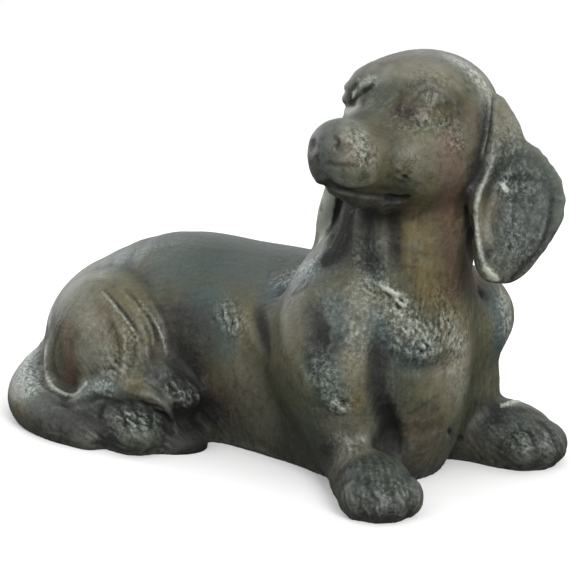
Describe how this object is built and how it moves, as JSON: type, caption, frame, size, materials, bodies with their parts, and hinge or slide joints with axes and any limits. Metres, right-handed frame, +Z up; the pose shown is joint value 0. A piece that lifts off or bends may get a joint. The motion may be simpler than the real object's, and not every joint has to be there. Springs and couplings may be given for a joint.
{
  "type": "concrete dachshund statue",
  "caption": "Lying dachshund cast in concrete, with its head turned to its right, long hanging ears, splayed front paws and a tail curled round one haunch. It stands on its flat underside.",
  "frame": {"origin": "on the ground under the middle of the bounding box", "axes": "+X the way the body faces, along its length; +Y to the dog's left; +Z up"},
  "size_m": [0.44, 0.2198, 0.2951],
  "materials": {
    "patinated_concrete": "cast concrete with a satin dark grey-green patina, ochre brown on the face, neck, chest and haunch, and pale blue-grey on the raised edges and fur"
  },
  "bodies": {
    "root": {"dachshund": "patinated_concrete"}
  },
  "joints": []
}
